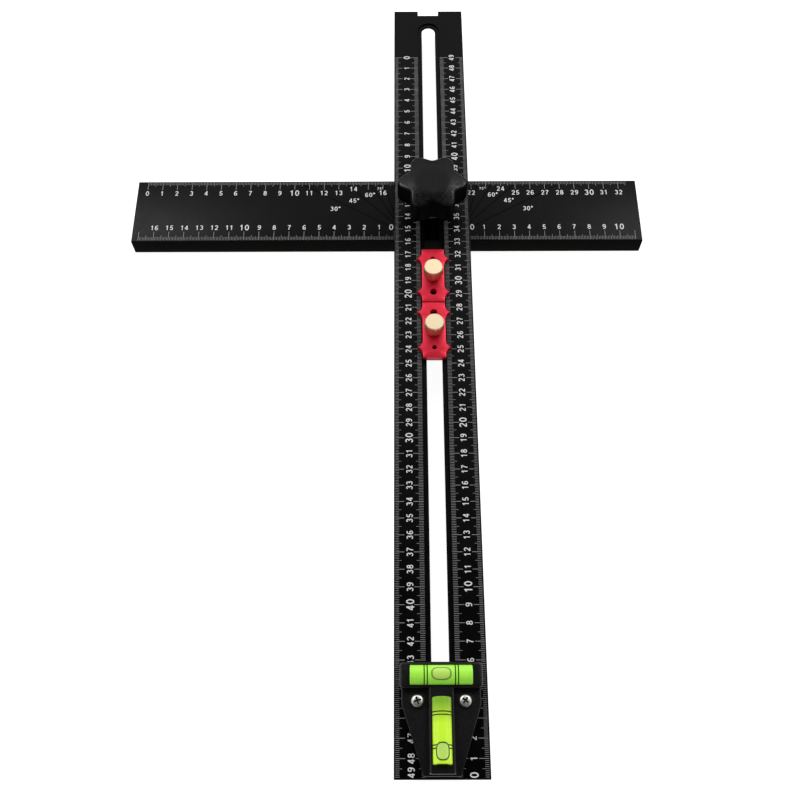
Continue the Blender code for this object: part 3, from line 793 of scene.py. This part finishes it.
def build_slider(side, finish):
    """The plate with its tips, and the tongue below it that runs in the blade's channel."""
    node = "slider_" + side
    low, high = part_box(node)
    centre = (low + high) / 2
    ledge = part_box("blade")[1].z + GAP
    outline = moved(slider_outline(high.x - low.x), 0.0, centre.y)
    half_x = SLIDER_WIDTH / 2 - 0.1 * MM
    tongue = box_outline(-half_x, low.y + 0.3 * MM, half_x, high.y - 0.3 * MM)
    big_y = centre.y + (-TIP_OFFSET if side == "upper" else TIP_OFFSET)
    small_y = 2 * centre.y - big_y
    shape = bmesh.new()
    edge = 0.2 * MM
    levels = [(0.0, ledge), (0.0, high.z - edge), (0.3 * edge, high.z - 0.3 * edge), (edge, high.z)]
    plate_foot, plate_top = wall(shape, outline, levels)
    tongue_foot, tongue_top = wall(shape, tongue, [(edge, low.z), (0.0, low.z + edge), (0.0, ledge)])
    drilled = ((SCREW_RADIUS + GAP, centre.y), (BIG_HOLE_RADIUS, big_y), (SMALL_HOLE_RADIUS, small_y))
    holes = []
    for radius, y in drilled:
        holes.append(bore(shape, moved(circle(radius, 48), 0.0, y), low.z, high.z))
    feet, heads = zip(*holes)
    cap(shape, plate_foot, tongue_top)
    cap(shape, plate_top, *heads)
    cap(shape, tongue_foot, *feet)
    piece(node + "_machined", shape, finish, side + "_slider", node)


def build_thumbscrew(side, finish):
    """A knurled head over a plain collar, on a threaded shank."""
    node = "thumbscrew_" + side
    low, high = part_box(node)
    place = upright_at(node)
    rim = (high.x - low.x) / 2
    head_low = high.z - THUMB_HEIGHT
    count = THUMB_TEETH * 6

    def knurled(radius, share):
        return waved(radius, KNURL_DEPTH * share, THUMB_TEETH, count)

    shank = [(0.0, low.z), (SCREW_RADIUS - 0.5 * MM, low.z)]
    shank += threaded(SCREW_RADIUS, low.z + 0.3 * MM, head_low - 0.5 * MM, SCREW_PITCH)
    shank += [(SCREW_RADIUS, head_low), (rim - 1.1 * MM, head_low), (rim - 0.8 * MM, head_low + 0.3 * MM),
              (rim - 0.8 * MM, head_low + 1.2 * MM)]
    sections = [(circle(radius, count), height) for radius, height in shank]
    sections += [
        (knurled(rim - 0.4 * MM, 0.3), head_low + 1.4 * MM), (knurled(rim, 1.0), head_low + 1.8 * MM),
        (knurled(rim, 1.0), high.z - 0.6 * MM), (knurled(rim - 0.25 * MM, 0.6), high.z - 0.2 * MM),
        (circle(rim - 0.6 * MM, count), high.z), (circle(1.0 * MM, count), high.z), ([(0.0, 0.0)], high.z),
    ]
    piece(node + "_knurled", lofted(sections), finish, side + "_screw", node, place)


def build_clamp_nut(side, finish):
    """A flange that pulls up under the web, and a boss that stops it turning in the slot."""
    node = "clamp_nut_" + side
    low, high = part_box(node)
    middle = (low.y + high.y) / 2
    flange_top = low.z + NUT_FLANGE
    boss_half = SLOT_WIDTH / 2 - GAP
    shape = bmesh.new()
    flange = rounded_box(low.x, low.y, high.x, high.y, 0.8 * MM)
    boss_near = middle - NUT_BOSS_LENGTH / 2
    boss = rounded_box(-boss_half, boss_near, boss_half, boss_near + NUT_BOSS_LENGTH, 0.6 * MM)
    flange_foot, flange_head = wall(shape, flange, rounded(low.z, flange_top, 0.2 * MM))
    boss_foot, boss_head = wall(
        shape, boss, [(0.0, flange_top), (0.0, high.z - 0.15 * MM), (0.15 * MM, high.z)])
    thread = moved(circle(SCREW_RADIUS + GAP, 48), 0.0, middle)
    thread_foot, thread_head = bore(shape, thread, low.z, high.z)
    cap(shape, flange_foot, thread_foot)
    cap(shape, flange_head, boss_foot)
    cap(shape, boss_head, thread_head)
    piece(node + "_machined", shape, finish, side + "_nut", node)


# -------- spirit level

def pocket_shape(radius, half_length, rise=10.0 * MM):
    """A U-shaped trough along local Z: half round below the vial's axis, upright above it."""
    arc = [math.pi * step / 40 for step in range(41)]
    outline = [(radius * math.cos(a), -radius * math.sin(a)) for a in arc]
    outline += [(-radius, rise), (radius, rise)]
    return prism(outline[::-1], -half_length, half_length)


def build_level_holder(finish, cross, along):
    low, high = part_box("level_holder")
    plate_top = low.z + HOLDER_PLATE
    outline = [
        (-HOLDER_TOE_HALF, low.y), (HOLDER_TOE_HALF, low.y),
        (HOLDER_SHOULDER_HALF, HOLDER_SHOULDER_Y), (HOLDER_SHOULDER_HALF, cross.y),
        (-HOLDER_SHOULDER_HALF, cross.y), (-HOLDER_SHOULDER_HALF, HOLDER_SHOULDER_Y),
    ]
    holder = to_object("level_holder_moulded", prism(outline, low.z, plate_top, 0.8 * MM, 4), [finish])
    half_x = HOLDER_BAR_LENGTH / 2
    half_y = HOLDER_BAR_WIDTH / 2
    bar = rounded_box(-half_x, cross.y - half_y, half_x, cross.y + half_y, 2.2 * MM, 8)
    combine(holder, prism(bar, low.z, high.z, 1.5 * MM, 6), "UNION")
    spine_outline = [
        (-SPINE_BASE / 2, low.z), (SPINE_BASE / 2, low.z),
        (SPINE_TOP / 2, high.z - 0.4 * MM), (-SPINE_TOP / 2, high.z - 0.4 * MM),
    ]
    spine = prism(spine_outline, -cross.y, -low.y - 0.9 * MM)
    combine(holder, spine, "UNION", ALONG_Y, 0.9 * MM)
    for sign in (-1, 1):
        seat = moved(circle(4.6 * MM, 48), sign * HOLDER_SCREW_X, HOLDER_SCREW_Y)
        combine(holder, prism(seat, plate_top - 0.5 * MM, plate_top + 0.25 * MM, 0.12 * MM), "UNION")
        hole = moved(circle(HOLDER_SHANK_RADIUS + GAP, 32), sign * HOLDER_SCREW_X, HOLDER_SCREW_Y)
        combine(holder, prism(hole, low.z - 2 * MM, high.z), "DIFFERENCE")
    vial_low, vial_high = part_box("long_vial_tube")
    radius = (vial_high.x - vial_low.x) / 2 + GAP
    half = (vial_high.y - vial_low.y) / 2 + GAP
    for centre, turn in ((cross, ALONG_X), (along, ALONG_Y)):
        combine(holder, pocket_shape(radius, half), "DIFFERENCE", Matrix.Translation(centre) @ turn)
    soften(holder, 28)
    mount(holder, "blade", "level_holder")


def cross_outline(arm, wing):
    quarter = [(wing, -arm), (wing, -wing), (arm, -wing)]
    outline = []
    for turn in range(4):
        c, s = math.cos(turn * math.pi / 2), math.sin(turn * math.pi / 2)
        outline += [(c * x - s * y, s * x + c * y) for x, y in quarter]
    return outline


def build_holder_screw(word, finish, recess_painted_shade):
    """A domed head with a tapered cross recess on a threaded shank."""
    node = "holder_screw_" + word
    low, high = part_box(node)
    place = upright_at(node)
    rim = (high.x - low.x) / 2
    head_low = high.z - HOLDER_HEAD_HEIGHT
    dome = []
    for step in range(9):
        angle = math.pi / 2 * step / 9
        dome.append((rim * math.cos(angle) ** 0.6, head_low + (0.7 + 1.3 * math.sin(angle)) * MM))
    shank = threaded(HOLDER_SHANK_RADIUS, low.z, head_low - 0.2 * MM, 0.5 * MM)
    profile = [(0.0, low.z)] + shank
    profile += [(HOLDER_SHANK_RADIUS, head_low), (rim - 0.15 * MM, head_low)]
    profile += [(rim, head_low + 0.15 * MM)] + dome + [(0.0, high.z)]
    screw = to_object(node + "_cross_head", turned(profile, 64), [finish], place)
    recess = bmesh.new()
    sections = []
    for arm, wing, depth in (RECESS_FOOT, RECESS_MOUTH):
        sections.append((cross_outline(arm, wing), high.z - depth))
    foot, head = loft(recess, sections)
    cap(recess, foot)
    cap(recess, head)
    angle = math.radians(20 if word == "left" else 52)
    combine(screw, recess, "DIFFERENCE", place @ Matrix.Rotation(angle, 4, "Z"))
    # Faces sunk inside the cross recess take the painted shade.
    screw.data.materials.append(recess_painted_shade)
    for face in screw.data.polygons:
        away = math.hypot(face.center.x - place.translation.x, face.center.y - place.translation.y)
        sunk = head_low + 0.3 * MM < face.center.z < high.z - 0.25 * MM
        face.material_index = int(sunk and away < RECESS_REACH)
    soften(screw)
    mount(screw, "blade", node)


def squared(value):
    """A sine or cosine pushed outwards, which squares an oval's corners."""
    return math.copysign(abs(value) ** BUBBLE_SQUARENESS, value)


def bubble_shape(radius, half_long, half_wide, inner=0.0, outer=1.0):
    """A patch of an oval that lies on a cylinder along Z, from an inner to an outer share."""
    count = 48
    steps = 8
    rings = []
    for step in range(steps + 1):
        share = inner + (outer - inner) * step / steps
        ring = []
        for corner in range(count):
            angle = math.tau * corner / count
            across, along = squared(math.sin(angle)), squared(math.cos(angle))
            ring.append((half_wide * share * across, half_long * share * along))
        rings.append(ring)
    shape = bmesh.new()
    tops = []
    for lift in (-0.10 * MM, 0.02 * MM):
        made = []
        for ring in rings:
            made.append([shape.verts.new((x, math.sqrt((radius + lift) ** 2 - x * x), z)) for x, z in ring])
        tops.append(made)
    for made in tops:
        for first, second in zip(made, made[1:]):
            skin(shape, first, second)
    skin(shape, tops[0][-1], tops[1][-1])
    skin(shape, tops[0][0], tops[1][0])
    return shape


def build_vial(prefix, centre, turn, bubble_at, bubble_size, finishes):
    """A tinted tube closed at one end, its plug, the liquid, four ring lines and the bubble."""
    place = Matrix.Translation(centre) @ turn
    low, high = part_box(prefix + "_tube")
    half = max(high.x - low.x, high.y - low.y) / 2
    outer = (high.z - low.z) / 2
    radius = VIAL_BORE_RADIUS
    floor = -half + VIAL_END
    rim = [(outer - inward, height) for inward, height in rounded(-half, half, 0.4 * MM, 4)]
    tube = [(0.0, -half)] + rim + [(radius, half), (radius, floor), (0.0, floor)]
    fill = radius - 0.02 * MM
    inner = half - VIAL_END
    liquid = [(0.0, floor + 0.05 * MM), (fill, floor + 0.05 * MM), (fill, inner - 0.05 * MM),
              (0.0, inner - 0.05 * MM)]
    plug = [(0.0, inner), (fill, inner), (fill, half - 0.2 * MM), (fill - 0.2 * MM, half), (0.0, half)]

    def solid(word, made, profile, count, finish):
        node = f"{prefix}_{word}"
        piece(f"{node}_{made}", turned(profile, count), finish, "blade", node, place)

    solid("tube", "moulded", tube, 96, finishes[prefix + "_tube"])
    solid("liquid", "green", liquid, 96, finishes["liquid"])
    solid("plug", "green", plug, 64, finishes["plug"])
    lines = bmesh.new()
    for at in VIAL_LINES:
        near, far = at - VIAL_LINE_HALF, at + VIAL_LINE_HALF
        band = [(outer - 0.05 * MM, near), (outer + 0.01 * MM, near),
                (outer + 0.01 * MM, far), (outer - 0.05 * MM, far)]
        first, last = loft(lines, [(circle(r, 96), height) for r, height in band])
        skin(lines, last, first)
    piece(prefix + "_ring_lines", lines, finishes["line"], "blade", place=place)
    half_long, half_wide = bubble_size
    at = place @ Matrix.Translation((0.0, 0.0, bubble_at))
    # The bubble patch is a painted highlight; its rim below is a painted shade edge.
    middle_shape = bubble_shape(outer, half_long, half_wide, 0.02, BUBBLE_RIM_SHARE)
    piece(prefix + "_bubble", middle_shape, finishes["bubble"], "blade", place=at)
    rim_shape = bubble_shape(outer, half_long, half_wide, BUBBLE_RIM_SHARE, 1.0)
    piece(prefix + "_bubble_rim", rim_shape, finishes[prefix + "_rim"], "blade", place=at)


# -------- printed marks

def add_bar(shape, x0, y0, x1, y1, surface_z):
    """A thin closed bar that stands a little proud of the surface."""
    levels = [(0.0, surface_z - MARK_ROOT), (0.0, surface_z + MARK_RISE)]
    bottom, top = wall(shape, box_outline(x0, y0, x1, y1), levels)
    shape.faces.new(bottom[::-1])
    shape.faces.new(top)


def tick_end(count, ends):
    """Where a tick ends: ends holds the millimetre, half-centimetre and centimetre reach."""
    if count % 10 == 0:
        return ends[2]
    return ends[1] if count % 5 == 0 else ends[0]


def tick_half(count):
    return (CM_TICK_WIDTH if count % 10 == 0 else TICK_WIDTH) / 2


def blade_ticks():
    shape = bmesh.new()
    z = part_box("blade")[1].z
    edges = ((OUTER_TICK_START, OUTER_TICK_ENDS), (INNER_TICK_START, INNER_TICK_ENDS))
    for count in range(1, BLADE_SCALE_CM * 10 + 1):
        y = count * MM
        half = tick_half(count)
        for start, ends in edges:
            end = tick_end(count, ends)
            inner, outer = sorted((start, end))
            add_bar(shape, -outer, y - half, -inner, y + half, z)
            add_bar(shape, inner, y - half, outer, y + half, z)
    return shape


def crossbar_ticks():
    shape = bmesh.new()
    low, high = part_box("crossbar")
    far, near, z = high.y, low.y, high.z
    blade_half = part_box("blade")[1].x
    far_start = far - CROSSBAR_TICK_START
    near_start = near + CROSSBAR_TICK_START
    for count in range(FAR_SCALE_MM + 1):
        x = SCALE_ZERO_FAR + count * MM
        half = tick_half(count)
        crowded = count / 10 in RAISED_CM
        end = far - (FAR_TICK_ENDS[1] if crowded else tick_end(count, FAR_TICK_ENDS))
        add_bar(shape, x - half, end, x + half, far_start, z)
    for sign, last in ((-1, NEAR_LEFT_MM), (1, NEAR_RIGHT_MM)):
        for count in range(last + 1):
            x = sign * (blade_half + count * MM)
            half = tick_half(count)
            add_bar(shape, x - half, near_start, x + half, near + tick_end(count, NEAR_TICK_ENDS), z)
    return shape


def ribbon(shape, path, half, low, high, closed=False):
    """A flat band along a path of points, mitred at its bends."""
    points = [Vector(point) for point in path]
    rings = []
    for index, here in enumerate(points):
        starts = index == 0 and not closed
        ends = index == len(points) - 1 and not closed
        before = here - points[index - 1]
        after = points[(index + 1) % len(points)] - here
        first = (after if starts else before).normalized()
        second = (before if ends else after).normalized()
        side = Vector((-first.y - second.y, first.x + second.x)) / (1 + first.dot(second)) * half
        corners = ((here + side, low), (here - side, low), (here - side, high), (here + side, high))
        rings.append([shape.verts.new((corner.x, corner.y, z)) for corner, z in corners])
    for lower, upper in zip(rings, rings[1:]):
        skin(shape, lower, upper)
    if closed:
        skin(shape, rings[-1], rings[0])
    else:
        shape.faces.new(rings[0][::-1])
        shape.faces.new(rings[-1])


def arc(x, y, across, up, start, end, count=10):
    """Points of an oval arc between two angles in degrees."""
    angles = [math.radians(start + (end - start) * step / count) for step in range(count + 1)]
    return [(x + across * math.cos(a), y + up * math.sin(a)) for a in angles]


def oval(x, y, across, up):
    return arc(x, y, across, up, 0, 360, 20)[:-1]


def glyphs():
    """Plain engraved digits, one unit high, as strokes: each is a path and whether it closes."""
    six = [(oval(0.29, 0.29, 0.21, 0.23), True),
           ([(0.08, 0.29)] + arc(0.34, 0.45, 0.26, 0.49, 180, 55), False)]
    nine = [([(0.58 - x, 1 - y) for x, y in path], closed) for path, closed in six]
    return {
        "0": [(oval(0.29, 0.5, 0.22, 0.44), True)],
        "1": [([(0.10, 0.73), (0.30, 0.90)], False), ([(0.32, 0.0), (0.32, 1.0)], False)],
        "2": [(arc(0.28, 0.70, 0.21, 0.24, 165, -38) + [(0.30, 0.36), (0.08, 0.08)], False),
              ([(0.05, 0.06), (0.53, 0.06)], False)],
        "3": [(arc(0.27, 0.73, 0.19, 0.21, 155, -90), False),
              (arc(0.27, 0.29, 0.22, 0.23, 90, -155), False)],
        "4": [([(0.40, 0.0), (0.40, 1.0)], False), ([(0.39, 0.95), (0.06, 0.30)], False),
              ([(0.03, 0.27), (0.56, 0.27)], False)],
        "5": [([(0.51, 0.94), (0.16, 0.94)], False), ([(0.17, 0.95), (0.10, 0.50)], False),
              (arc(0.28, 0.31, 0.22, 0.25, 140, -155), False)],
        "6": six,
        "7": [([(0.05, 0.94), (0.53, 0.94)], False),
              ([(0.51, 0.92), (0.34, 0.60), (0.24, 0.30), (0.21, 0.0)], False)],
        "8": [(oval(0.29, 0.73, 0.18, 0.21), True), (oval(0.29, 0.28, 0.22, 0.22), True)],
        "9": nine,
        "°": [(oval(0.16, 0.84, 0.11, 0.11), True)],
    }


GLYPHS = glyphs()


def print_text(shape, text, x, y, z, height, turn=0.0):
    """Adds a text's strokes to a shape, with their middle at (x, y) on the surface at z."""
    widths = [0.42 if letter == "°" else GLYPH_ADVANCE for letter in text]
    pen = -(sum(widths) - 0.17) / 2
    place = Matrix.Translation((x, y, 0.0)) @ Matrix.Rotation(turn, 4, "Z") @ Matrix.Scale(height, 4)
    half = GLYPH_HALF_STROKE * height
    for letter, width in zip(text, widths):
        for order, (path, closed) in enumerate(GLYPHS[letter]):
            points = [place @ Vector((pen + 1.07 * px, py - 0.5, 0.0)) for px, py in path]
            top = z + MARK_RISE - order * 0.003 * MM
            ribbon(shape, [(p.x, p.y) for p in points], half, z - MARK_ROOT, top, closed)
        pen += width


def blade_numbers():
    """The left column counts towards the zero end and the right one away from it."""
    shape = bmesh.new()
    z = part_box("blade")[1].z
    upwards = math.radians(90)
    for value in range(BLADE_SCALE_CM + 1):
        height = TENS_HEIGHT if value % 10 == 0 else DIGIT_HEIGHT
        left_y = (BLADE_SCALE_CM - value) * 10 * MM
        right_y = value * 10 * MM
        if value == BLADE_SCALE_CM:
            left_y = 3.2 * MM
        if value == 0:
            right_y = 2.0 * MM
        print_text(shape, str(value), -16.0 * MM, left_y, z, height, upwards)
        print_text(shape, str(value), 16.3 * MM, right_y, z, height, upwards)
    return shape


def crossbar_numbers():
    """Centimetres along both edges and the angles by their lines; crowded ones move up or go."""
    shape = bmesh.new()
    low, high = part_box("crossbar")
    z = high.z
    blade_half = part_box("blade")[1].x
    far_row = high.y - 9.9 * MM
    raised_row = high.y - 6.6 * MM
    near_row = low.y + 10.9 * MM
    for value in range(33):
        if value in UNPRINTED_CM:
            continue
        x = SCALE_ZERO_FAR + value * 10 * MM
        y = raised_row if value in RAISED_CM else far_row
        height = TENS_HEIGHT if value in (10, 20, 30) else DIGIT_HEIGHT
        print_text(shape, str(value), x, y, z, height)
    for sign, last in ((-1, 16), (1, 10)):
        for value in range(last + 1):
            height = TENS_HEIGHT if value in (0, 10) else DIGIT_HEIGHT
            shift = 2.0 * MM if value == 0 else 0.0
            print_text(shape, str(value), sign * (blade_half + value * 10 * MM + shift), near_row, z, height)
    for degrees, (x, below, height) in zip(ANGLES, ANGLE_LABEL_PLACES):
        for sign in (-1, 1):
            print_text(shape, f"{degrees}°", sign * x * MM, high.y - below * MM, z, height * MM)
    return shape


def crossbar_angle_lines():
    """Lines at 30, 45, 60 and 75 degrees from the near corners under the blade's edges."""
    shape = bmesh.new()
    low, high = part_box("crossbar")
    pivot_y = (low.y + high.y) / 2
    half_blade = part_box("blade")[1].x
    for degrees in ANGLES:
        slope = math.radians(degrees)
        foot_y = pivot_y + half_blade * (math.sin(slope) - 1) / math.cos(slope)
        for sign in (-1, 1):
            ends = []
            for y in (max(foot_y, low.y + 9 * MM), high.y - 2.2 * MM):
                x = (half_blade + (y - pivot_y) * math.cos(slope)) / math.sin(slope)
                ends.append(Vector((sign * x, y)))
            ribbon(shape, ends, ANGLE_LINE_HALF, high.z - MARK_ROOT, high.z + 0.5 * MARK_RISE)
    return shape


# -------- stage, lights and camera

def build_floor():
    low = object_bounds()[0].z - 0.1 * MM
    reach = 6.0
    shape = bmesh.new()
    shape.faces.new([shape.verts.new((x, y, low)) for x, y in box_outline(-reach, -reach, reach, reach)])
    floor = to_object("floor", shape, [pale_floor()])


def build_world():
    world = bpy.data.worlds.new("studio")
    bpy.context.scene.world = world
    world.use_nodes = True
    tree = world.node_tree
    background = tree.nodes["Background"]
    background.inputs["Color"].default_value = (1.0, 1.0, 1.0, 1.0)
    seen = tree.nodes.new("ShaderNodeLightPath").outputs["Is Camera Ray"]
    tree.links.new(background.inputs["Strength"], ranged(tree, seen, 0.0, 1.0, 0.10, 1.0))


def add_light(name, place, target, width, height, power):
    data = bpy.data.lights.new(name, "AREA")
    data.shape = "RECTANGLE"
    data.size = width
    data.size_y = height
    data.energy = power
    light = bpy.data.objects.new(name, data)
    light.location = place
    light.rotation_euler = (Vector(target) - Vector(place)).to_track_quat("-Z", "Y").to_euler()
    bpy.context.scene.collection.objects.link(light)


def build_lights():
    """A broad panel behind the tool that its top faces mirror, a back light and two side fills."""
    middle = (0.0, 0.3, 0.0)
    add_light("back_panel", (0.0, 1.40, 1.03), (0.0, 0.4, 0.0), 1.7, 1.16, 6.4)
    for side in (-1.0, 1.0):
        add_light("back_key", (1.05 * side, 1.15, 1.35), middle, 0.6, 0.6, 13.0)
        add_light("side_fill", (1.5 * side, 0.1, 0.9), middle, 0.9, 0.9, 3.0)


def build_camera():
    data = bpy.data.cameras.new("camera")
    data.sensor_width = 36.0
    data.lens = CAMERA_LENS
    camera = bpy.data.objects.new("camera", data)
    place = Matrix.Translation(CAMERA_PLACE)
    for axis, degrees in CAMERA_TURNS:
        place = place @ Matrix.Rotation(math.radians(degrees), 4, axis)
    camera.matrix_world = place
    bpy.context.scene.collection.objects.link(camera)
    bpy.context.scene.camera = camera


# -------- everything together

def build_marks():
    white = printed_white()
    engraved = engraved_grey()
    piece("blade_scale_ticks", blade_ticks(), engraved, "blade")
    piece("blade_scale_numbers", blade_numbers(), white, "blade")
    piece("crossbar_scale_ticks", crossbar_ticks(), engraved, "crossbar")
    piece("crossbar_scale_numbers", crossbar_numbers(), white, "crossbar")
    piece("crossbar_angle_lines", crossbar_angle_lines(), scribed_dark(), "crossbar")


def build_level(plastic):
    cross = middle_of("cross_vial_tube")
    along = middle_of("long_vial_tube")
    build_level_holder(plastic, cross, along)
    screw_finish = nickel()
    recess = recess_shade()
    for word in ("left", "right"):
        build_holder_screw(word, screw_finish, recess)
    finishes = {
        "cross_vial_tube": green_acrylic("cross_vial_acrylic", (0.46, 0.90, 0.10), (0.40, 0.86, 0.06)),
        # The long vial's colour darkens towards its far end along Y: painted shade.
        "long_vial_tube": green_acrylic(
            "long_vial_acrylic", (0.68, 0.96, 0.05), (0.60, 0.92, 0.04),
            ((0.026, 0.037), (0.07, 0.30, 0.02))),
        "liquid": vial_green("vial_liquid", (0.50, 0.82, 0.035), (0.42, 0.78, 0.03)),
        "plug": vial_green("vial_plug", (0.34, 0.76, 0.03), (0.30, 0.70, 0.025)),
        "line": surface("vial_line", (0.004, 0.03, 0.003), (0.008, 0.045, 0.005), 0.4, 0.05, 700.0,
                        0.006 * MM, Specular_IOR_Level=0.1),
        # The bubble's paler, glowing patch is a painted highlight.
        "bubble": vial_green("vial_bubble_highlight", (0.50, 0.78, 0.13), (0.60, 0.86, 0.20), 0.2),
        # The bubble rims are painted shade edges, the cross vial's lighter than the long one's.
        "cross_vial_rim": vial_green("vial_cross_shade_rim", (0.20, 0.42, 0.08), (0.26, 0.50, 0.12)),
        "long_vial_rim": vial_green("vial_long_shade_rim", (0.05, 0.15, 0.02), (0.07, 0.20, 0.03)),
    }
    build_vial("cross_vial", cross, ALONG_X, 0.0, CROSS_BUBBLE, finishes)
    build_vial("long_vial", along, ALONG_Y, LONG_BUBBLE_AT, LONG_BUBBLE, finishes)


def main():
    bpy.context.scene.view_settings.view_transform = "Standard"
    build_camera()
    black = anodised_black()
    # A darker copy of the black finish paints shade on the upright faces.
    black_painted_shade_sides = anodised_black_sides()
    brass_finish = brass()
    pivot = upright_at("pivot_bolt")
    build_blade(black, black_painted_shade_sides)
    build_crossbar(black, black_painted_shade_sides)
    build_pivot_bolt(zinc(), pivot)
    rings = {"nylon": black_nylon(), "washer": dull_zinc(), "brass": brass_finish}
    build_pivot_rings(rings, pivot)
    build_star_knob(knob_plastic(), knob_sides(), pivot)
    red = anodised_red()
    steel = nut_steel()
    for side in ("upper", "lower"):
        build_slider(side, red)
        build_thumbscrew(side, brass_finish)
        build_clamp_nut(side, steel)
    build_level(moulded_black())
    build_marks()
    build_floor()
    build_world()
    build_lights()


main()
